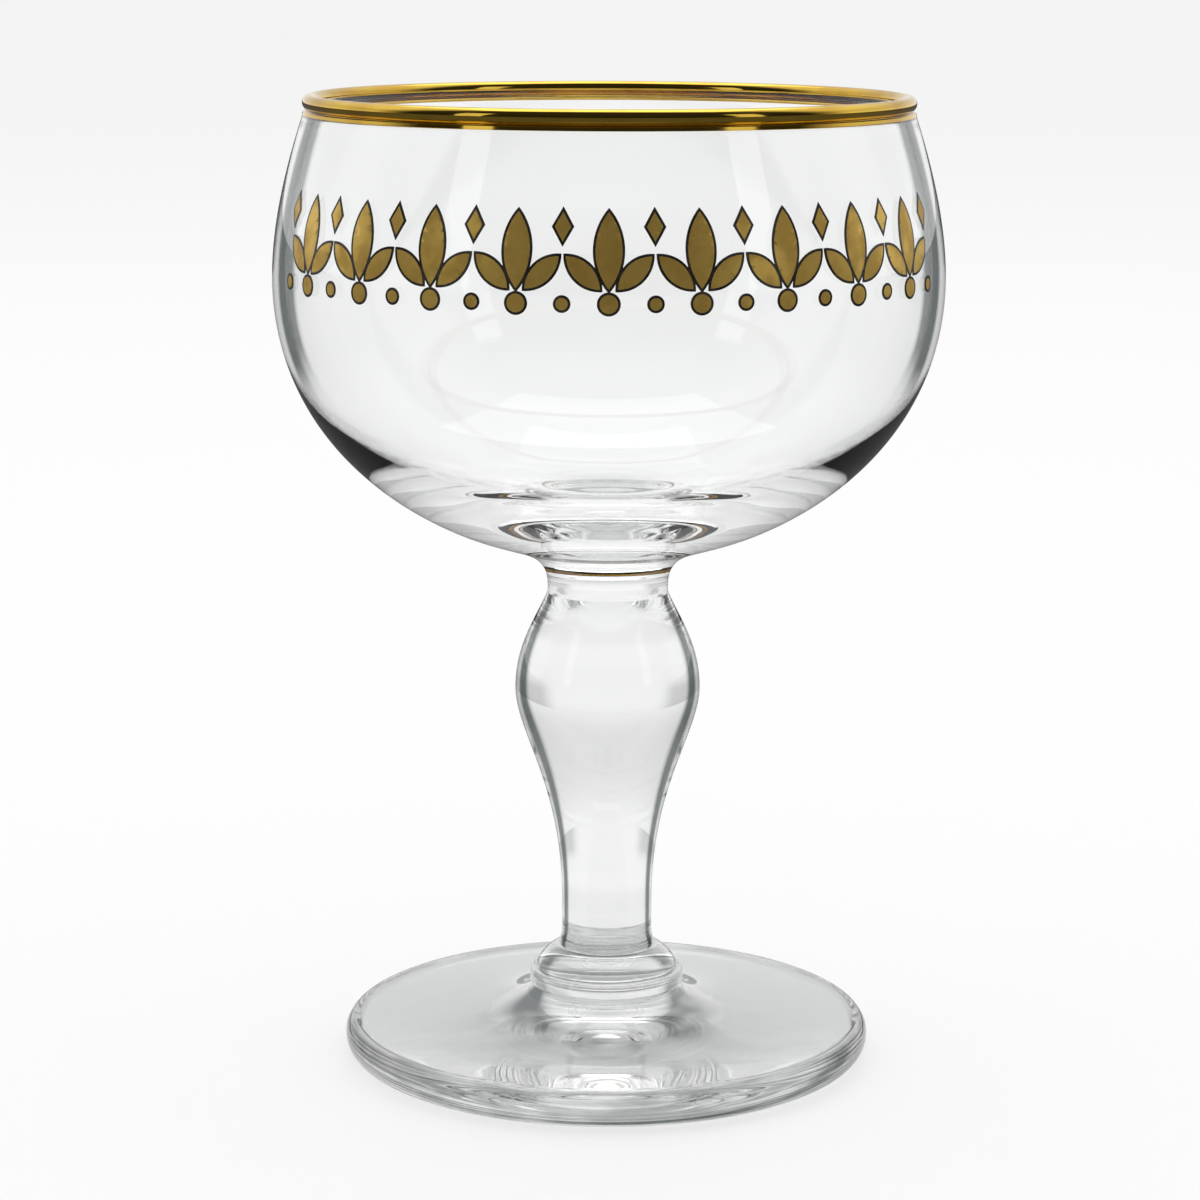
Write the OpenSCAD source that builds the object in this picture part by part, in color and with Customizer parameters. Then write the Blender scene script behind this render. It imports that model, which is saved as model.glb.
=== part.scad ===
// Chalice beer glass: a wide round bowl on a baluster stem, a ringed collar and a swept round foot,
// fused hot into one glass, with a gilded lip and a fired leaf frieze round the front of the bowl.
// Millimetres. +Z is up, the origin is the middle of the foot's underside, and the front faces -Y.

/* [Foot] */
// Radius of the foot at its edge
foot_r = 42.8; // [36:0.1:50]
// Thickness of the foot at its edge
foot_edge_h = 6.4; // [6.2:0.1:8]
// Rounding of the edge's upper side
foot_top_round = 2.6; // [1:0.1:2.8]
// Rounding of the edge's lower side
foot_low_round = 3.6; // [1:0.1:3.8]
// Height of the boss in the middle of the foot, where the collar is fused on
foot_boss_h = 11.6; // [9.5:0.1:14]
// Radius of that boss
foot_boss_r = 12.05; // [10.5:0.05:14]
// Width of the flat ring that the glass stands on
foot_rest_w = 5; // [2:0.1:9]
// Depth of the shallow hollow inside that ring
foot_hollow_h = 0.8; // [0.3:0.1:2.5]

/* [Collar] */
// Height of the collar between the foot's boss and the stem
collar_h = 6.3; // [5.2:0.1:8]
// How far the collar's lower ring stands out past the boss
collar_ring_out = 0.5; // [0.2:0.05:1.2]
// Height of the collar's lower ring
collar_ring_h = 2.4; // [1.5:0.1:3.2]
// How far the domed upper part stands back from the lower ring
collar_step = 0.9; // [0.5:0.05:1.8]

/* [Stem] */
// Height of the stem, from the collar to the bowl
stem_h = 58.7; // [52:0.1:68]
// Radius of the stem's lower end
stem_base_r = 7.7; // [7.4:0.05:8.6]
// Height over which that end flares out
stem_base_h = 2.9; // [2:0.1:4.5]
// Radius of the stem at its waist
waist_r = 7.32; // [6.2:0.02:7.4]
// Height of the waist's straight run
waist_h = 4.6; // [2:0.1:9]
// Radius of the knop at its widest
knop_r = 14.92; // [13:0.02:18]
// Height of the knop's widest place above the stem's lower end
knop_h = 43; // [36:0.1:47]
// Angle of the knop's shoulder from upright, where it meets the bowl
shoulder_angle = 23.5; // [10:0.5:40]

/* [Bowl] */
// Height of the bowl, from the stem to the gilded brim
bowl_h = 79.4; // [76:0.1:90]
// Radius of the neck, where the bowl is fused to the stem
neck_r = 9.7; // [9:0.05:11]
// Height of the neck's narrowest place above the stem
neck_h = 1.2; // [0.6:0.1:2.5]
// Radius where the sloping base turns up into the bowl
base_r = 25.3; // [21:0.1:29]
// Height of that turn above the stem
base_h = 10.7; // [9.5:0.1:12]
// Slope of the base from level
base_angle = 23.9; // [18:0.1:28]
// Outer radius of the bowl at its widest
belly_r = 53.17; // [50:0.01:58]
// Height of the widest place above the stem
belly_h = 50.7; // [46:0.1:56]
// Outer radius just below the lip
mouth_r = 48.08; // [46:0.01:49.8]
// Lean of the wall just below the lip, from upright
mouth_angle = 18.5; // [12:0.5:24]
// Thickness of the wall just below the lip
mouth_wall = 1; // [0.8:0.05:1.4]
// Thickness of the wall at the widest place
belly_wall = 1.2; // [0.9:0.05:2]
// Height of the bowl's inner floor above the stem
floor_h = 12.2; // [11:0.1:14]

/* [Lip and gilding] */
// Radius of the rounded bead of glass along the lip
bead_r = 1.12; // [1:0.02:1.2]
// How far the gilded bead stands out past the wall below it
lip_out = 0.08; // [0:0.02:0.4]
// Height of the lip, from the foot of the gilding to the gilded brim
lip_h = 3.1; // [2.8:0.05:3.6]
// Height of the plain band of gilding below the bead
band_h = 0.5; // [0.3:0.05:0.7]
// Depth of the gilding inside the lip
gilding_in_h = 1.45; // [1.25:0.05:1.6]
// Thickness of the fired gilding
gilding_t = 0.1; // [0.08:0.01:0.2]

/* [Leaf frieze] */
// Number of three-leaved sprigs
sprig_count = 9; // [3:1:11]
// Distance between sprigs, round the bowl
sprig_pitch = 13.6; // [13.4:0.1:14.4]
// Height of the frieze's middle above the stem
frieze_h = 57.4; // [54:0.1:61]
// Length of a sprig's upright leaf
leaf_l = 11; // [8:0.1:12]
// Width of that leaf
leaf_w = 3.9; // [2.8:0.1:4]
// Length of a sprig's side leaves
side_l = 6.8; // [5:0.1:7]
// Width of those leaves
side_w = 2.8; // [2:0.1:2.9]
// Lean of the side leaves from upright
side_angle = 46; // [44:1:48]
// Radius of the berry under each sprig
berry_r = 1.35; // [0.8:0.05:1.4]
// Radius of the small bead between two sprigs
dot_r = 0.9; // [0.5:0.05:1.1]
// Height of the lozenge between two sprigs
lozenge_h = 4.2; // [2.6:0.1:4.6]
// Width of the lozenge
lozenge_w = 2.4; // [1.4:0.1:2.6]
// Width of the dark line round each shape
line_w = 0.38; // [0.2:0.02:0.42]
// Thickness of the fired print
print_t = 0.1; // [0.08:0.01:0.2]

/* [Hidden] */

$fn = 180;
curve_steps = 24;
wall_steps = 12;
bead_steps = 20;
round_steps = 8;
frieze_low_steps = 3;

glass_colour = [0.86, 0.9, 0.9, 0.45];
gold_colour = [0.83, 0.62, 0.2];
print_colour = [0.66, 0.5, 0.18];
line_colour = [0.09, 0.07, 0.05];

// Pulls of each curve's two ends, as shares of the height or width that the curve spans
sweep_top_share = 0.22;
sweep_edge_share = 0.5;
sweep_angle = 48;
foot_fall_angle = 6;
hollow_share = 0.5;
dome_top_share = 0.35;
dome_side_share = 0.38;
shoulder_top_share = 0.3;
shoulder_knop_share = 0.43;
knop_low_share = 0.21;
waist_share = 0.55;
base_flare_share = 0.5;
neck_share = 0.66;
neck_base_share = 0.62;
base_belly_share = 0.57;
belly_low_share = 0.51;
belly_high_share = 0.33;
mouth_share = 0.31;
floor_share = 0.73;
inner_low_share = 0.56;

// Where the collar's ring is widest, as a share of its height, and the pull of its top towards the step
ring_widest_share = 0.5;
step_share = 0.5;

// Angles round the lip's bead: where the groove under it starts and where the inner wall starts
bead_start_angle = -60;
bead_end_angle = 255;

collar_z = foot_boss_h;
stem_z = collar_z + collar_h;
bowl_z = stem_z + stem_h;
brim_z = bowl_z + bowl_h;

bead_centre_r = mouth_r + lip_out - gilding_t - bead_r;
bead_centre_z = brim_z - gilding_t - bead_r;
gilding_end_angle = 180 + asin((gilding_in_h - gilding_t - bead_r) / bead_r);
inner_mouth_r = mouth_r - mouth_wall;
lip_z = brim_z - lip_h;
belly_z = bowl_z + belly_h;
floor_z = bowl_z + floor_h;
frieze_z = bowl_z + frieze_h;
pitch_angle = sprig_pitch / belly_r * 180 / PI;

// Direction at an angle from the level, outwards
function ray(angle) = [cos(angle), sin(angle)];

// Points of a smooth curve from a to d that sets out towards b and arrives from c, without a itself
function curve(a, b, c, d, steps = curve_steps) = [
    for (i = [1:steps])
        let (t = i / steps, u = 1 - t)
            u * u * u * a + 3 * u * u * t * b + 3 * u * t * t * c + t * t * t * d
];

// Points of an arc between two angles, with both ends
function arc(centre, r, from, to, steps) = [
    for (i = [0:steps])
        centre + r * ray(from + (to - from) * i / steps)
];

function reversed(points) = [for (i = [len(points) - 1:-1:0]) points[i]];

// The foot: a flat ring to stand on, a rounded edge and a top that sweeps up to the boss
function foot_outline() =
    let (
        rest_r = foot_r - foot_low_round,
        hollow_r = rest_r - foot_rest_w,
        fall_r = foot_r - foot_top_round,
        sweep = fall_r - foot_boss_r,
        low = [hollow_r, 0],
        crown = [0, foot_hollow_h],
        boss = [foot_boss_r, foot_boss_h],
        fall_run = ray(-foot_fall_angle),
        fall = [fall_r, foot_edge_h - foot_top_round] + foot_top_round * ray(90 - foot_fall_angle)
    )
    concat(
        [crown],
        curve(crown, crown + [hollow_r * hollow_share, 0], low - [hollow_r * hollow_share, 0], low),
        [[rest_r, 0]],
        arc([rest_r, foot_low_round], foot_low_round, -90, 0, round_steps),
        arc([fall_r, foot_edge_h - foot_top_round], foot_top_round, 0, 90 - foot_fall_angle, round_steps),
        curve(
            fall,
            fall - sweep * sweep_edge_share * fall_run,
            boss + sweep * sweep_top_share * ray(-sweep_angle),
            boss
        ),
        [[0, foot_boss_h]]
    );

// The collar: a rounded ring on the boss, a step, and a dome that closes on the stem
function collar_outline() =
    let (
        ring_r = foot_boss_r + collar_ring_out,
        dome_r = ring_r - collar_step,
        step_z = collar_z + collar_ring_h,
        dome_h = stem_z - step_z,
        low = [foot_boss_r, collar_z],
        low_corner = [ring_r, collar_z],
        ring = [ring_r, collar_z + collar_ring_h * ring_widest_share],
        high_corner = [ring_r, step_z],
        step = [dome_r, step_z],
        top = [stem_base_r, stem_z]
    )
    concat(
        [[0, collar_z], low],
        curve(low, low_corner, low_corner, ring, round_steps),
        curve(ring, high_corner, step + [collar_step * step_share, 0], step, round_steps),
        curve(
            step,
            step + [0, dome_h * dome_side_share],
            top + [(dome_r - stem_base_r) * dome_top_share, 0],
            top,
            round_steps
        ),
        [[0, stem_z]]
    );

// The stem: a flared lower end, the waist, the knop and its shoulder under the bowl
function stem_outline() =
    let (
        knop_z = stem_z + knop_h,
        waist_low_z = stem_z + stem_base_h,
        waist_top_z = waist_low_z + waist_h,
        base = [stem_base_r, stem_z],
        waist_low = [waist_r, waist_low_z],
        waist_top = [waist_r, waist_top_z],
        knop = [knop_r, knop_z],
        shoulder = [neck_r, bowl_z],
        swell_h = knop_z - waist_top_z,
        shoulder_h = bowl_z - knop_z
    )
    concat(
        [[0, stem_z], base],
        curve(
            base,
            base + [0, stem_base_h * base_flare_share * base_flare_share],
            waist_low - [0, stem_base_h * base_flare_share],
            waist_low,
            round_steps
        ),
        [waist_top],
        curve(
            waist_top,
            waist_top + [0, swell_h * waist_share],
            knop - [0, swell_h * knop_low_share],
            knop
        ),
        curve(
            knop,
            knop + [0, shoulder_h * shoulder_knop_share],
            shoulder + shoulder_h * shoulder_top_share * [sin(shoulder_angle), -cos(shoulder_angle)],
            shoulder
        ),
        [[0, bowl_z]]
    );

// The bowl's outer wall from its widest place down to the stem
function bowl_lower_wall() =
    let (
        belly = [belly_r, belly_z],
        turn = [base_r, bowl_z + base_h],
        neck = [neck_r, bowl_z + neck_h]
    )
    concat(
        curve(
            belly,
            belly - [0, (belly[1] - turn[1]) * belly_low_share],
            turn + (belly_r - base_r) * base_belly_share * ray(base_angle),
            turn
        ),
        curve(
            turn,
            turn - (base_r - neck_r) * neck_base_share * ray(base_angle),
            neck + [0, (turn[1] - neck[1]) * neck_share],
            neck
        ),
        [[neck_r, bowl_z]]
    );

// The wall from its widest place up to the lip, outside or, with a narrower mouth and belly, inside
function bowl_upper_wall(wide_r, narrow_r) =
    let (
        belly = [wide_r, belly_z],
        mouth = [narrow_r, lip_z],
        rise = lip_z - belly_z
    )
    curve(
        belly,
        belly + [0, rise * belly_high_share],
        mouth + rise * mouth_share * [tan(mouth_angle), -1],
        mouth,
        wall_steps
    );

// The groove and the bead's gilded part, from the foot of the gilding over the brim to its inner end
function lip_bead(grow) =
    concat(
        [[mouth_r + grow, lip_z], [mouth_r - band_h * tan(mouth_angle) + grow, lip_z + band_h]],
        arc([bead_centre_r, bead_centre_z], bead_r + grow, bead_start_angle, gilding_end_angle, bead_steps)
    );

function bowl_outline() =
    let (
        inner_belly = [belly_r - belly_wall, belly_z],
        inner_floor = [0, floor_z],
        drop = belly_z - floor_z
    )
    concat(
        [[0, bowl_z]],
        reversed(bowl_lower_wall()),
        [[belly_r, belly_z]],
        bowl_upper_wall(belly_r, mouth_r),
        lip_bead(0),
        arc([bead_centre_r, bead_centre_z], bead_r, gilding_end_angle, bead_end_angle, round_steps),
        reversed(bowl_upper_wall(inner_belly[0], inner_mouth_r)),
        [inner_belly],
        curve(
            inner_belly,
            inner_belly - [0, drop * inner_low_share],
            inner_floor + [inner_belly[0] * floor_share, 0],
            inner_floor
        )
    );

// A pointed leaf that stands on its lower tip, grown evenly by a margin for its dark line
module leaf(length, width, grow = 0) {
    bow_r = (length * length + width * width) / (4 * width);
    translate([0, length / 2]) {
        intersection() {
            translate([bow_r - width / 2, 0]) circle(bow_r + grow);
            translate([width / 2 - bow_r, 0]) circle(bow_r + grow);
        }
    }
}

// Three leaves that spring from one berry
module sprig(grow = 0) {
    berry_z = -leaf_l / 2;
    side_z = berry_z + berry_r + 2 * line_w;
    translate([0, side_z]) leaf(leaf_l, leaf_w, grow);
    for (side = [-1, 1]) {
        translate([side * leaf_w / 3, side_z]) rotate(-side * side_angle) leaf(side_l, side_w, grow);
    }
    translate([0, berry_z]) circle(berry_r + grow);
}

// The lozenge and the small bead that stand between two sprigs
module spacer(grow = 0) {
    tip_share = sqrt(lozenge_w * lozenge_w + lozenge_h * lozenge_h);
    half_w = lozenge_w / 2 + grow * tip_share / lozenge_h;
    half_h = lozenge_h / 2 + grow * tip_share / lozenge_w;
    translate([0, leaf_l / 2]) polygon([[half_w, 0], [0, half_h], [-half_w, 0], [0, -half_h]]);
    translate([0, -leaf_l / 2]) circle(dot_r + grow);
}

// A thin fired skin on the bowl's front, cut to the shapes that its children draw
module fired_skin(angle) {
    wall = concat(
        reversed([for (i = [0:frieze_low_steps]) bowl_lower_wall()[i]]),
        [[belly_r, belly_z]],
        bowl_upper_wall(belly_r, mouth_r)
    );
    proud = [for (p = reversed(wall)) p + [print_t, 0]];
    intersection() {
        rotate_extrude() polygon(concat(wall, proud));
        rotate([0, 0, angle]) translate([0, 0, frieze_z]) rotate([90, 0, 0]) {
            translate([0, 0, neck_r]) linear_extrude(belly_r) children();
        }
    }
}

module foot() {
    color(glass_colour) rotate_extrude() polygon(foot_outline());
}

module collar() {
    color(glass_colour) rotate_extrude() polygon(collar_outline());
}

module stem() {
    color(glass_colour) rotate_extrude() polygon(stem_outline());
}

module bowl() {
    color(glass_colour) rotate_extrude() polygon(bowl_outline());
}

module rim_gilding() {
    color(gold_colour) rotate_extrude() {
        polygon(concat(lip_bead(0), reversed(lip_bead(gilding_t))));
    }
}

module frieze_gold() {
    first = -(sprig_count - 1) / 2;
    color(print_colour) {
        for (i = [0:sprig_count - 1]) fired_skin((first + i) * pitch_angle) sprig();
        for (i = [0:sprig_count]) fired_skin((first + i - 1 / 2) * pitch_angle) spacer();
    }
}

module frieze_lines() {
    first = -(sprig_count - 1) / 2;
    color(line_colour) {
        for (i = [0:sprig_count - 1]) {
            fired_skin((first + i) * pitch_angle) {
                difference() {
                    sprig(line_w);
                    sprig();
                }
            }
        }
        for (i = [0:sprig_count]) {
            fired_skin((first + i - 1 / 2) * pitch_angle) {
                difference() {
                    spacer(line_w);
                    spacer();
                }
            }
        }
    }
}

foot();
collar();
stem();
bowl();
rim_gilding();
frieze_gold();
frieze_lines();
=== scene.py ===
"""Chalice beer glass: the looks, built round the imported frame. Metres, +Z up, the leaf frieze faces -Y.

The four members of glass are spun from the outlines of their own CAD nodes, with finer steps, and meet at
seams that light passes as it does through one glass. The gilding and the frieze are fired skins on them.
"""
import math

import bmesh
import bpy
from mathutils import Matrix, Vector


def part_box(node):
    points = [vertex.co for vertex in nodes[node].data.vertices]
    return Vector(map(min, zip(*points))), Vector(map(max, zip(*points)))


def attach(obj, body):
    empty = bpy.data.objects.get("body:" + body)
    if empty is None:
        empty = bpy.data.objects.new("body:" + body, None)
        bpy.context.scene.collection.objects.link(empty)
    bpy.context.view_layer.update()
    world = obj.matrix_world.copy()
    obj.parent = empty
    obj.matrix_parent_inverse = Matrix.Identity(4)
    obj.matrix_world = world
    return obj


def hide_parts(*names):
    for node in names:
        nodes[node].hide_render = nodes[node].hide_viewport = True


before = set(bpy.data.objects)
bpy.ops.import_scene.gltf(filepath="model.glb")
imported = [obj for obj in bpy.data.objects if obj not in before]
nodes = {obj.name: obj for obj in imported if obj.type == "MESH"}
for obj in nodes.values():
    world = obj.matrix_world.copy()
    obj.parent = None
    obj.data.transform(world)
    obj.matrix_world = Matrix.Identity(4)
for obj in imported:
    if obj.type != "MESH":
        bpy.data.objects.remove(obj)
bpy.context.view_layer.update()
scene = bpy.context.scene
MM = 0.001

# How finely the glass is spun, and how finely each step of its outlines is filled in
TURN_STEPS = 180
CURVE_FILL = (1 / 3, 2 / 3, 1)
RUN_FILL = (0.04, 0.96, 1)
STRAIGHT_RUN = 3
SHARP_CORNER = math.radians(32)
NO_TURN = math.radians(0.03)
SAME_RING = 0.02 * MM
SAME_POINT = 0.002 * MM

# The fired skins: how proud they stand, how far their backs are sunk into the glass, and how finely they bend
SKIN_PROUD = 0.1 * MM
SKIN_SINK = 0.02 * MM
SKIN_STEP_UP = 1.6 * MM
SKIN_STEP_ROUND = math.radians(2)
PRINT_HALF_TURNS = 36

# The glass: its tint for each way of making, the painted shade of its edge line, its waves, and how much of a
# lamp's light it lets through
BLOWN_TINT = (0.985, 0.99, 0.988, 1)
DRAWN_TINT = (0.95, 0.958, 0.955, 1)
PRESSED_TINT = (0.93, 0.94, 0.936, 1)
# Painted shade: the near-black that the glass's colour turns to along the line inside its outline
PAINTED_EDGE_SHADE = (0.04, 0.05, 0.05, 1)
GLASS_IOR = 1.52
WALL_WAVE = 0.003 * MM
THICK_WAVE = 0.03 * MM
LAMP_PASS = (0.78, 0.79, 0.79, 1)

# The painted shade line inside the glass's outline, a dark colour in place of the dark surroundings bent in from
# the sides: how far its faces turn away, from 0 head-on to 1 edge-on
WALL_LINE = (0.68, 0.84)
STEM_LINE = (0.46, 0.76)
FOOT_LINE = (0.34, 0.7)
LINE_FADE = 1 / 3

# Where that painted line fades in: up the bowl's wall, up the foot's sweep, and out to the foot's rounded edge,
# where painted shade also darkens the edge in streaks
UPRIGHT_WALL = (108 * MM, 116 * MM)
FOOT_SWEEP = (6.6 * MM, 7.8 * MM)
FOOT_EDGE = (40.8 * MM, 41.6 * MM)
LINE_STREAKS = (0.35, 0.6)
LINE_STRENGTH = (0.45, 1)
EDGE_STREAKS = (0.4, 0.6)
EDGE_STRENGTH = (0.1, 0.6)

# The fired finishes: linear colours, roughness, and the heights of the lines and grain
GILDING_BRIGHT = (0.8, 0.53, 0.08, 1)
GILDING_DEEP = (0.66, 0.4, 0.06, 1)
GILDING_ROUGHNESS = (0.06, 0.12)
GILDING_LINES = 0.0006 * MM
PRINT_LIGHT = (0.82, 0.55, 0.13, 1)
PRINT_DARK = (0.64, 0.41, 0.09, 1)
PRINT_ROUGHNESS = (0.34, 0.5)
PRINT_METALLIC = 0.75
PRINT_GRAIN = 0.004 * MM
ENAMEL_BLACK = (0.012, 0.011, 0.01, 1)
ENAMEL_BROWN = (0.03, 0.022, 0.015, 1)
ENAMEL_ROUGHNESS = (0.22, 0.36)
RUB_RANGE = (0.35, 0.65)
FLECK_RANGE = (0.6, 0.75)
FLECK_SHARE = 0.4

# The floor: levels at which 1 is white, and where it changes, by depth, distance or bearing from the glass
FLOOR_COLOUR = (0.9, 0.9, 0.9, 1)
FLOOR_RADIUS = 9
FLOOR_SEGMENTS = 96
FLOOR_GAP = 0.1 * MM
FLOOR_GLOW = 0.6
FLOOR_BEHIND = 0.75
BEHIND_DEPTH = (60 * MM, 200 * MM)
FLOOR_IN_FRONT = 0.1
FRONT_DEPTH = (-60 * MM, -42 * MM)
FRONT_END = (-140 * MM, -90 * MM)
SIDE_SHADE = 0.3
SIDE_DISTANCE = (200 * MM, 450 * MM)
SIDE_BEARING = (0.82, 0.93)
FLOOR_IN_GOLD = 0.12
GOLD_DISTANCE = (50 * MM, 140 * MM)

# The room: levels by height, from the horizon at 0 to the zenith at 1, and the dark side in front
WALL_LEVELS = ((0, 0.95), (0.1, 0.84), (0.22, 0.74), (0.36, 0.7), (0.55, 1.0), (0.85, 1.25))
ROOM_IN_GLASS = 0.1
ROOM_IN_GOLD = 0.03
GLASS_ROOM_EDGE = (-0.6, -0.3)
GLASS_ROOM_TOP = (0.45, 0.8)
GOLD_ROOM_EDGE = (-0.2, 0.2)
WHITE = (1, 1, 1, 1)
BLACK = (0, 0, 0, 1)

# The lamps, in metres and watts
GLASS_MIDDLE = Vector((0, 0, 78 * MM))
CEILING_PLACE = (0, 0.5, 1.6)
CEILING_SIZE = 1.4
CEILING_WATTS = 7.5
WINDOW_ASIDE = 1.1
WINDOW_AHEAD = -0.86
WINDOW_UP = 0.55
WINDOW_WIDTH = 0.28
WINDOW_HEIGHT = 0.9
WINDOW_WATTS = 0.7

# Light goes through many walls of glass before it ends
GLASS_BOUNCES = 32
MIRROR_BOUNCES = 16

# The camera, from the fit to the ellipses of the lip and the foot
CAMERA_BACK = 559.8 * MM
CAMERA_HEIGHT = 182.2 * MM
CAMERA_PITCH = math.radians(10.83)
CAMERA_ROLL = math.radians(0.2)
CAMERA_NEAR = 10 * MM
PHOTO_SIZE = 1200
FOCAL_PIXELS = 3534
AXIS_PIXELS_RIGHT = 7.8
SENSOR = 36


# Outlines, read from the rings of points that a turned node's mesh is made of

def rings_of(node):
    """The rings of a node's mesh as (radius, height), and which rings its edges join."""
    bm = bmesh.new()
    bm.from_mesh(nodes[node].data)
    rings, ring_of = [], {}
    for v in bm.verts:
        point = Vector((math.hypot(v.co.x, v.co.y), v.co.z))
        near = next((i for i, r in enumerate(rings) if (r - point).length < SAME_RING), None)
        if near is None:
            near = len(rings)
            rings.append(point)
        ring_of[v.index] = near
    links = {i: set() for i in range(len(rings))}
    for e in bm.edges:
        a, b = (ring_of[v.index] for v in e.verts)
        if a != b:
            links[a].add(b)
            links[b].add(a)
    bm.free()
    return rings, links


def turn_at(before, here, after):
    """The angle by which an outline turns at a point."""
    return (here - before).angle(after - here, 0)


def outline_of(node):
    """A node's outline in order, without the points that its mesh adds along straight steps."""
    rings, links = rings_of(node)
    ends = [i for i in links if len(links[i]) == 1]
    chain = [min(ends or links, key=lambda i: rings[i].y)]
    while onward := [i for i in links[chain[-1]] if i not in chain]:
        chain.append(min(onward, key=lambda i: (rings[i] - rings[chain[-1]]).length))
    points = [rings[i] for i in chain]
    if ends:
        points = [Vector((0, points[0].y))] + points + [Vector((0, points[-1].y))]
    else:
        points.append(points[0])
    kept = [points[0]]
    for here, after in zip(points[1:], points[2:]):
        if (here - kept[-1]).length > SAME_POINT and turn_at(kept[-1], here, after) > NO_TURN:
            kept.append(here)
    if (points[-1] - kept[-1]).length > SAME_POINT:
        kept.append(points[-1])
    return kept


def tangents_of(points):
    """The way that a smooth curve takes through each point, or None at an end or a sharp corner."""
    tangents = [None] * len(points)
    for i in range(1, len(points) - 1):
        if turn_at(*points[i - 1:i + 2]) >= SHARP_CORNER:
            continue
        before, after = points[i] - points[i - 1], points[i + 1] - points[i]
        if max(before.length, after.length) > STRAIGHT_RUN * min(before.length, after.length):
            tangents[i] = max(before, after, key=lambda step: step.length).normalized()
        else:
            weighed = before.normalized() * after.length + after.normalized() * before.length
            tangents[i] = weighed.normalized()
    return tangents


def filled_in(points):
    """The same outline with Hermite curves through its points, except at its sharp corners."""
    tangents = tangents_of(points)
    out = [points[0]]
    for i in range(len(points) - 1):
        a, b = points[i], points[i + 1]
        chord = (b - a).normalized()
        start, end = tangents[i], tangents[i + 1]
        if start is None and end is None:
            out.append(b)
            continue
        straight = all(way is None or way.angle(chord) < NO_TURN for way in (start, end))
        start = start or 2 * chord.dot(end) * chord - end
        end = end or 2 * chord.dot(start) * chord - start
        pull = (b - a).length
        for t in RUN_FILL if straight else CURVE_FILL:
            u = 1 - t
            out.append(
                (u * u * (1 + 2 * t)) * a + (t * t * (3 - 2 * t)) * b
                + (u * u * t * pull) * start - (t * t * u * pull) * end
            )
    return out


# Making the pieces

def new_piece(name, bm, slot, *replaced):
    """A finished piece: its mesh, its body and the node that it stands for. The slot is not used."""
    mesh = bpy.data.meshes.new(name)
    bm.to_mesh(mesh)
    bm.free()
    mesh.shade_smooth()
    mesh.set_sharp_from_angle(angle=SHARP_CORNER)
    piece = bpy.data.objects.new(name, mesh)
    scene.collection.objects.link(piece)
    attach(piece, "root")
    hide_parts(*replaced)
    return piece


def spun(outline):
    """A closed outline turned about the glass's axis."""
    bm = bmesh.new()
    verts = [bm.verts.new((p.x, 0, p.y)) for p in outline]
    edges = [bm.edges.new(pair) for pair in zip(verts, verts[1:])]
    bmesh.ops.spin(
        bm, geom=verts + edges, cent=(0, 0, 0), axis=(0, 0, 1),
        angle=2 * math.pi, steps=TURN_STEPS, use_merge=True,
    )
    bmesh.ops.remove_doubles(bm, verts=bm.verts, dist=SAME_POINT)
    bmesh.ops.recalc_face_normals(bm, faces=bm.faces)
    return bm


def glass_member(name, node, *seam_heights):
    """One member of the glass. Its faces at the fused seams take the second material."""
    bm = spun(filled_in(outline_of(node)))
    for face in bm.faces:
        for z in seam_heights:
            if all(abs(v.co.z - z) < SAME_POINT for v in face.verts):
                face.material_index = 1
    return new_piece(name, bm, "clear_glass", node)


def distance_to(outline, point):
    """How far a point is from an outline."""
    gaps = []
    for a, b in zip(outline, outline[1:]):
        run = b - a
        share = min(max((point - a).dot(run) / run.length_squared, 0), 1)
        gaps.append((a + share * run - point).length)
    return min(gaps)


def sunk_into(glass, skin):
    """A skin's closed outline, with the points that lie on the glass moved a little into it."""
    proud = [p for p in skin if distance_to(glass, p) > SKIN_PROUD / 2]
    moved = []
    for p in skin:
        if distance_to(glass, p) < SKIN_PROUD / 2:
            over = min(proud, key=lambda q: (q - p).length)
            p = p + SKIN_SINK * (p - over).normalized()
        moved.append(p)
    return moved


def wall_radius(z):
    """The bowl's outer radius at a height."""
    for a, b in zip(bowl_outline, bowl_outline[1:]):
        if a.y <= z < b.y:
            return a.x + (b.x - a.x) * (z - a.y) / (b.y - a.y)


def fired_print(name, node, slot):
    """A copy of a fired skin, bent finely round the bowl: its back is sunk in and its front stands proud."""
    bm = bmesh.new()
    bm.from_mesh(nodes[node].data)
    bmesh.ops.remove_doubles(bm, verts=bm.verts, dist=SAME_POINT)
    low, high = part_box(node)
    levels = int((high.z - low.z) / SKIN_STEP_UP)
    cuts = [(Vector((0, 0, low.z + SKIN_STEP_UP * i)), Vector((0, 0, 1))) for i in range(1, levels + 1)]
    for i in range(-PRINT_HALF_TURNS, PRINT_HALF_TURNS + 1):
        angle = i * SKIN_STEP_ROUND
        cuts.append((Vector(), Vector((math.cos(angle), math.sin(angle), 0))))
    for place, normal in cuts:
        everything = bm.verts[:] + bm.edges[:] + bm.faces[:]
        bmesh.ops.bisect_plane(bm, geom=everything, dist=SAME_POINT / 2, plane_co=place, plane_no=normal)
    for v in bm.verts:
        radius, wall = math.hypot(v.co.x, v.co.y), wall_radius(v.co.z)
        wall += SKIN_PROUD if radius - wall > SKIN_PROUD / 2 else -SKIN_SINK
        v.co.xy *= wall / radius
    return new_piece(name, bm, slot, node)


# The pieces

collar_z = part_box("collar")[0].z
stem_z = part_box("stem")[0].z
bowl_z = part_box("bowl")[0].z

foot = glass_member("swept_foot", "foot", collar_z)
collar = glass_member("ringed_collar", "collar", collar_z, stem_z)
stem = glass_member("baluster_stem", "stem", stem_z, bowl_z)
bowl = glass_member("blown_bowl", "bowl", bowl_z)

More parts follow.
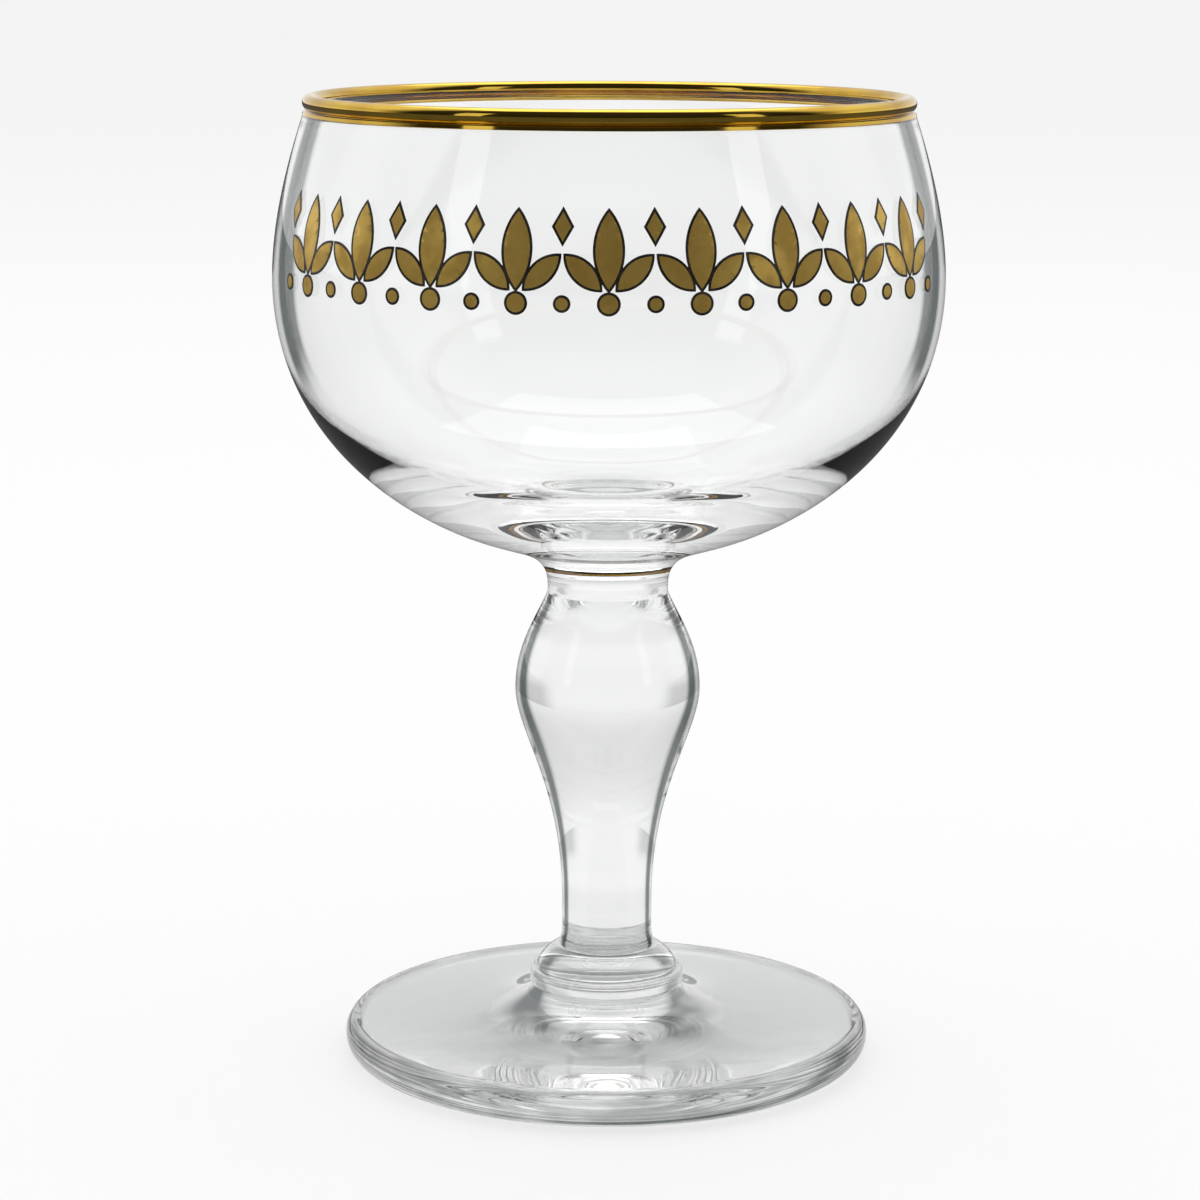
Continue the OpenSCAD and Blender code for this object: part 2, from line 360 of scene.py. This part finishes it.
bowl_outline = filled_in(outline_of("bowl"))
lip_skin = filled_in(sunk_into(bowl_outline, outline_of("rim_gilding")))
gilding = new_piece("gilded_lip", spun(lip_skin), "bright_gilding", "rim_gilding")
print_gold = fired_print("frieze_leaves", "frieze_gold", "satin_gold_print")
print_lines = fired_print("frieze_outlines", "frieze_lines", "black_enamel")


# Node helpers

def make(tree, kind, inputs=None, **settings):
    """A new shader node with its settings, and each named input set to a value or fed by a socket."""
    made = tree.nodes.new(kind)
    for name, value in settings.items():
        setattr(made, name, value)
    for name, value in (inputs or {}).items():
        if isinstance(value, bpy.types.NodeSocket):
            tree.links.new(value, made.inputs[name])
        else:
            made.inputs[name].default_value = value
    return made


def math_of(tree, operation, *values):
    """The result of a Math node."""
    return make(tree, "ShaderNodeMath", dict(enumerate(values)), operation=operation).outputs[0]


def vector_of(tree, operation, *values):
    """The first result of a Vector Math node."""
    return make(tree, "ShaderNodeVectorMath", dict(enumerate(values)), operation=operation).outputs[0]


def length_of(tree, vector):
    """The length of a vector."""
    return make(tree, "ShaderNodeVectorMath", {0: vector}, operation="LENGTH").outputs["Value"]


def product(tree, first, *others):
    """Values multiplied together."""
    result = first
    for value in others:
        result = math_of(tree, "MULTIPLY", result, value)
    return result


def spread(tree, value, low, high, to_low, to_high):
    """A value taken smoothly from one range to another."""
    inputs = {"Value": value, "From Min": low, "From Max": high, "To Min": to_low, "To Max": to_high}
    return make(tree, "ShaderNodeMapRange", inputs, interpolation_type="SMOOTHSTEP").outputs["Result"]


def mixed_colour(tree, share, a, b):
    """Two colours mixed by a share."""
    return make(tree, "ShaderNodeMix", {0: share, 6: a, 7: b}, data_type="RGBA").outputs[2]


def mixed_value(tree, share, a, b):
    """Two values mixed by a share."""
    return make(tree, "ShaderNodeMix", {0: share, 2: a, 3: b}, data_type="FLOAT").outputs[0]


def mixed_shader(tree, share, a, b):
    """Two shaders mixed by a share."""
    return make(tree, "ShaderNodeMixShader", {0: share, 1: a.outputs[0], 2: b.outputs[0]})


def object_place(tree):
    """The place of a point on a piece."""
    return make(tree, "ShaderNodeTexCoord").outputs["Object"]


def parts_of(tree, vector):
    """The x, y and z of a vector."""
    return make(tree, "ShaderNodeSeparateXYZ", {0: vector}).outputs


def shader_group(name, inputs, outputs):
    """An empty node group with named number sockets."""
    tree = bpy.data.node_groups.new(name, "ShaderNodeTree")
    for socket in inputs:
        tree.interface.new_socket(socket, in_out="INPUT", socket_type="NodeSocketFloat")
    for socket in outputs:
        tree.interface.new_socket(socket, in_out="OUTPUT", socket_type="NodeSocketFloat")
    return tree, tree.nodes.new("NodeGroupInput").outputs, tree.nodes.new("NodeGroupOutput").inputs


def placed(tree, group, **inputs):
    """A node group placed in a material with its own values."""
    made = make(tree, "ShaderNodeGroup", node_tree=group)
    for name, value in inputs.items():
        made.inputs[name.replace("_", " ")].default_value = value
    return made.outputs


def new_material(name):
    """An empty material, its tree and its output."""
    material = bpy.data.materials.new(name)
    material.use_nodes = True
    material.node_tree.nodes.clear()
    return material, material.node_tree, make(material.node_tree, "ShaderNodeOutputMaterial").inputs["Surface"]


# Shared effects

def turned_ripple():
    """Slow waves that run round the axis, as hot glass keeps them from its tools and moulds."""
    tree, given, out = shader_group("turned_ripple", ["Round", "Upright", "Detail"], ["Height"])
    size = make(tree, "ShaderNodeCombineXYZ", {0: given["Round"], 1: given["Round"], 2: given["Upright"]})
    at = vector_of(tree, "MULTIPLY", object_place(tree), size.outputs[0])
    waves = make(tree, "ShaderNodeTexNoise", {"Vector": at, "Scale": 1, "Detail": given["Detail"]})
    tree.links.new(waves.outputs["Fac"], out["Height"])
    return tree


def hand_wear():
    """Fine rubs and thin places in a fired layer, from years of washing and wiping."""
    tree, given, out = shader_group("hand_wear", ["Rub size", "Fleck size"], ["Rubs", "Flecks"])
    place = object_place(tree)
    rubs = make(tree, "ShaderNodeTexNoise", {"Vector": place, "Scale": given["Rub size"], "Detail": 4})
    flecks = make(tree, "ShaderNodeTexNoise", {"Vector": place, "Scale": given["Fleck size"], "Detail": 2})
    tree.links.new(spread(tree, rubs.outputs["Fac"], *RUB_RANGE, 0, 1), out["Rubs"])
    tree.links.new(spread(tree, flecks.outputs["Fac"], *FLECK_RANGE, 0, 1), out["Flecks"])
    return tree


ripple_group = turned_ripple()
wear_group = hand_wear()


# The finishes

def painted_line_everywhere(tree, line, streaks):
    """The whole of the stem shows the painted shade line inside its outline."""
    return line


def painted_line_on_upright_wall(tree, line, streaks):
    """Only the upright part of the bowl's wall shows the painted shade line. The camera sees the lower part at a
    slant all over.
    """
    height = parts_of(tree, object_place(tree))[2]
    return product(tree, line, spread(tree, height, *UPRIGHT_WALL, 0, 1))


def painted_line_on_sweep_and_edge(tree, line, streaks):
    """The collar, the foot's sweep and its rounded edge show the painted shade line, in streaks. The edge gets
    painted shade as well, in streaks.
    """
    place = object_place(tree)
    height = parts_of(tree, place)[2]
    radius = length_of(tree, vector_of(tree, "MULTIPLY", place, (1, 1, 0)))
    on_sweep = spread(tree, height, *FOOT_SWEEP, 0, 1)
    on_edge = spread(tree, radius, *FOOT_EDGE, 0, 1)
    either = math_of(tree, "MAXIMUM", on_sweep, on_edge)
    lined = product(tree, line, either, spread(tree, streaks, *LINE_STREAKS, *LINE_STRENGTH))
    # Painted shade on the foot's rounded edge, in streaks
    shaded = product(tree, on_edge, spread(tree, streaks, *EDGE_STREAKS, *EDGE_STRENGTH))
    return math_of(tree, "MAXIMUM", lined, shaded)


def clear_glass(name, tint, wave, line_from, line_to, lined):
    """Clear glass with waves round its axis, and a thin line of painted shade just inside its outline, where
    lined says so: its colour turns near-black where its faces turn away, in place of the dark surroundings that
    the glass bends in from the sides.

    Lamps shine through it, so that its shadow stays soft.
    """
    material, tree, surface = new_material(name)
    ripple = placed(tree, ripple_group, Round=70, Upright=300, Detail=2)
    bump = make(tree, "ShaderNodeBump", {"Strength": 1, "Distance": wave, "Height": ripple["Height"]})
    facing = make(tree, "ShaderNodeLayerWeight", {"Blend": 0.5}).outputs["Facing"]
    outside = math_of(tree, "SUBTRACT", 1.0, make(tree, "ShaderNodeNewGeometry").outputs["Backfacing"])
    fade = (line_to - line_from) * LINE_FADE
    inner = spread(tree, facing, line_from, line_from + fade, 0, 1)
    outer = spread(tree, facing, line_to - fade, line_to, 1, 0)
    line = lined(tree, product(tree, inner, outer, outside), ripple["Height"])
    glass = make(tree, "ShaderNodeBsdfPrincipled", {
        # Painted shade: the base colour turns near-black along the line inside the outline
        "Base Color": mixed_colour(tree, line, tint, PAINTED_EDGE_SHADE), "Roughness": 0, "IOR": GLASS_IOR,
        "Transmission Weight": 1, "Normal": bump.outputs["Normal"],
    })
    lamp_passes = make(tree, "ShaderNodeBsdfTransparent", {"Color": LAMP_PASS})
    is_shadow = make(tree, "ShaderNodeLightPath").outputs["Is Shadow Ray"]
    tree.links.new(mixed_shader(tree, is_shadow, glass, lamp_passes).outputs[0], surface)
    return material


def fused_seam():
    """The faces at which two members are fused hot into one glass: light goes straight on through them."""
    material, tree, surface = new_material("fused_seam")
    seam = make(tree, "ShaderNodeBsdfPrincipled", {"Alpha": 0})
    tree.links.new(seam.outputs[0], surface)
    return material


def bright_gilding():
    """Burnished fired gold, with faint burnishing lines round the lip and a few dulled rubs."""
    material, tree, surface = new_material("bright_gilding")
    wear = placed(tree, wear_group, Rub_size=90, Fleck_size=900)
    lines = placed(tree, ripple_group, Round=25, Upright=5200, Detail=3)
    bump = make(tree, "ShaderNodeBump", {"Strength": 1, "Distance": GILDING_LINES, "Height": lines["Height"]})
    gold = make(tree, "ShaderNodeBsdfPrincipled", {
        "Base Color": mixed_colour(tree, wear["Rubs"], GILDING_BRIGHT, GILDING_DEEP), "Metallic": 1,
        "Roughness": spread(tree, wear["Rubs"], 0, 1, *GILDING_ROUGHNESS), "Normal": bump.outputs["Normal"],
    })
    tree.links.new(gold.outputs[0], surface)
    return material


def satin_gold_print():
    """The print's fired gold: satin, a little uneven in its thickness, with fine flecks."""
    material, tree, surface = new_material("satin_gold_print")
    wear = placed(tree, wear_group, Rub_size=260, Fleck_size=2600)
    worn = math_of(tree, "MULTIPLY_ADD", wear["Flecks"], FLECK_SHARE, wear["Rubs"])
    bump = make(tree, "ShaderNodeBump", {"Strength": 1, "Distance": PRINT_GRAIN, "Height": wear["Flecks"]})
    gold = make(tree, "ShaderNodeBsdfPrincipled", {
        "Base Color": mixed_colour(tree, worn, PRINT_LIGHT, PRINT_DARK), "Metallic": PRINT_METALLIC,
        "Roughness": spread(tree, worn, 0, 1, *PRINT_ROUGHNESS), "Normal": bump.outputs["Normal"],
    })
    tree.links.new(gold.outputs[0], surface)
    return material


def black_enamel():
    """The print's dark lines: glossy black enamel, a little browner where it is thin."""
    material, tree, surface = new_material("black_enamel")
    wear = placed(tree, wear_group, Rub_size=340, Fleck_size=3000)
    bump = make(tree, "ShaderNodeBump", {"Strength": 1, "Distance": PRINT_GRAIN, "Height": wear["Flecks"]})
    enamel = make(tree, "ShaderNodeBsdfPrincipled", {
        "Base Color": mixed_colour(tree, wear["Rubs"], ENAMEL_BLACK, ENAMEL_BROWN),
        "Roughness": spread(tree, wear["Rubs"], 0, 1, *ENAMEL_ROUGHNESS), "Normal": bump.outputs["Normal"],
    })
    tree.links.new(enamel.outputs[0], surface)
    return material


blown = clear_glass("blown_glass", BLOWN_TINT, WALL_WAVE, *WALL_LINE, painted_line_on_upright_wall)
drawn = clear_glass("drawn_glass", DRAWN_TINT, WALL_WAVE, *STEM_LINE, painted_line_everywhere)
pressed = clear_glass("pressed_glass", PRESSED_TINT, THICK_WAVE, *FOOT_LINE, painted_line_on_sweep_and_edge)
seam = fused_seam()
for member, finish in ((foot, pressed), (collar, pressed), (stem, drawn), (bowl, blown)):
    member.data.materials.append(finish)
    member.data.materials.append(seam)
gilding.data.materials.append(bright_gilding())
print_gold.data.materials.append(satin_gold_print())
print_lines.data.materials.append(black_enamel())


# The studio: a white floor, pale walls, a bright ceiling and a dark room in front

def mirror_ray(tree, rays):
    """One for a ray that a surface mirrors. A ray that has come through glass is both kinds, and gives nought."""
    return math_of(tree, "SUBTRACT", rays["Is Glossy Ray"], rays["Is Transmission Ray"])


def floor_finish():
    """White paint that keeps the glass's shadow, lit or dimmed for each kind of ray.

    The camera sees it near white. A ray through the glass sees it white behind, dark just ahead of the foot
    and dimmer at the sides. A mirrored ray sees it dark, except round the foot.
    """
    material, tree, surface = new_material("white_floor")
    rays = make(tree, "ShaderNodeLightPath").outputs
    place = object_place(tree)
    depth = parts_of(tree, place)[1]
    away = length_of(tree, place)
    bearing = math_of(tree, "DIVIDE", depth, away)
    in_glass = rays["Is Transmission Ray"]
    in_either = math_of(tree, "MAXIMUM", rays["Is Glossy Ray"], in_glass)

    behind = spread(tree, depth, *BEHIND_DEPTH, 0, FLOOR_BEHIND)
    to_camera = product(tree, rays["Is Camera Ray"], FLOOR_GLOW)
    glow = math_of(tree, "MAXIMUM", to_camera, product(tree, in_glass, behind))

    near_foot = spread(tree, depth, *FRONT_DEPTH, 1 - FLOOR_IN_FRONT, 0)
    ahead = product(tree, near_foot, spread(tree, depth, *FRONT_END, 0, 1))
    off_axis = spread(tree, bearing, *SIDE_BEARING, 1, 0)
    beside = product(tree, spread(tree, away, *SIDE_DISTANCE, 0, SIDE_SHADE), off_axis)
    shade = product(tree, math_of(tree, "MAXIMUM", ahead, beside), in_either)
    far = product(tree, spread(tree, away, *GOLD_DISTANCE, 0, 1 - FLOOR_IN_GOLD), mirror_ray(tree, rays))
    dim = math_of(tree, "MAXIMUM", far, shade)

    painted = make(tree, "ShaderNodeBsdfDiffuse", {"Color": FLOOR_COLOUR})
    lit = make(tree, "ShaderNodeEmission", {"Color": WHITE, "Strength": 1})
    dark = make(tree, "ShaderNodeEmission", {"Color": BLACK, "Strength": 0})
    shown = mixed_shader(tree, dim, mixed_shader(tree, glow, painted, lit), dark)
    tree.links.new(shown.outputs[0], surface)
    return material


def studio_floor():
    """A round floor so wide that every ray straight through the glass ends on it."""
    bm = bmesh.new()
    bmesh.ops.create_circle(bm, cap_ends=True, radius=FLOOR_RADIUS, segments=FLOOR_SEGMENTS)
    bmesh.ops.translate(bm, verts=bm.verts, vec=(0, 0, -FLOOR_GAP))
    mesh = bpy.data.meshes.new("floor")
    bm.to_mesh(mesh)
    bm.free()
    mesh.materials.append(floor_finish())
    floor = bpy.data.objects.new("floor", mesh)
    scene.collection.objects.link(floor)


def studio_world():
    """White to the camera. To everything else: pale walls, a bright ceiling, a dark room in front."""
    world = bpy.data.worlds.new("studio")
    scene.world = world
    world.use_nodes = True
    tree = world.node_tree
    tree.nodes.clear()
    out = make(tree, "ShaderNodeOutputWorld")
    way = parts_of(tree, make(tree, "ShaderNodeTexCoord").outputs["Generated"])
    depth, height = way[1], way[2]
    ramp = make(tree, "ShaderNodeValToRGB", {"Fac": height})
    ramp.color_ramp.interpolation = "B_SPLINE"
    stops = ramp.color_ramp.elements
    stops.remove(stops[1])
    for at, level in WALL_LEVELS:
        stop = stops[0] if at == 0 else stops.new(at)
        stop.color = (level, level, level, 1)

    rays = make(tree, "ShaderNodeLightPath").outputs
    low_room = spread(tree, depth, *GLASS_ROOM_EDGE, ROOM_IN_GLASS, 1)
    in_glass = math_of(tree, "MAXIMUM", low_room, spread(tree, height, *GLASS_ROOM_TOP, 0, 1))
    in_gold = spread(tree, depth, *GOLD_ROOM_EDGE, ROOM_IN_GOLD, 1)
    room = mixed_value(tree, mirror_ray(tree, rays), in_glass, in_gold)
    dimmed = product(tree, ramp.outputs["Color"], room)
    level = mixed_value(tree, rays["Is Camera Ray"], dimmed, 1.0)
    light = make(tree, "ShaderNodeBackground", {"Color": WHITE, "Strength": level})
    tree.links.new(light.outputs[0], out.inputs["Surface"])


def soft_lamp(name, place, width, height, watts):
    """A soft box that faces the middle of the glass."""
    lamp = bpy.data.lights.new(name, "AREA")
    lamp.shape = "RECTANGLE"
    lamp.size = width
    lamp.size_y = height
    lamp.energy = watts
    body = bpy.data.objects.new(name, lamp)
    scene.collection.objects.link(body)
    toward = GLASS_MIDDLE - Vector(place)
    body.matrix_world = Matrix.Translation(place) @ toward.to_track_quat("-Z", "Y").to_matrix().to_4x4()


studio_floor()
studio_world()
soft_lamp("ceiling_box", CEILING_PLACE, CEILING_SIZE, CEILING_SIZE, CEILING_WATTS)
for name, side in (("left_window", -1), ("right_window", 1)):
    place = (side * WINDOW_ASIDE, WINDOW_AHEAD, WINDOW_UP)
    soft_lamp(name, place, WINDOW_WIDTH, WINDOW_HEIGHT, WINDOW_WATTS)

scene.cycles.max_bounces = GLASS_BOUNCES
scene.cycles.transmission_bounces = GLASS_BOUNCES
scene.cycles.glossy_bounces = MIRROR_BOUNCES
scene.cycles.transparent_max_bounces = GLASS_BOUNCES
scene.view_settings.view_transform = "Standard"


# The camera

lens = bpy.data.cameras.new("camera")
lens.sensor_width = SENSOR
lens.lens = FOCAL_PIXELS / PHOTO_SIZE * SENSOR
lens.shift_x = -AXIS_PIXELS_RIGHT / PHOTO_SIZE
lens.clip_start = CAMERA_NEAR
camera = bpy.data.objects.new("camera", lens)
scene.collection.objects.link(camera)
pitch = Matrix.Rotation(math.radians(90) - CAMERA_PITCH, 4, "X")
roll = Matrix.Rotation(CAMERA_ROLL, 4, "Z")
camera.matrix_world = Matrix.Translation((0, -CAMERA_BACK, CAMERA_HEIGHT)) @ pitch @ roll
scene.camera = camera
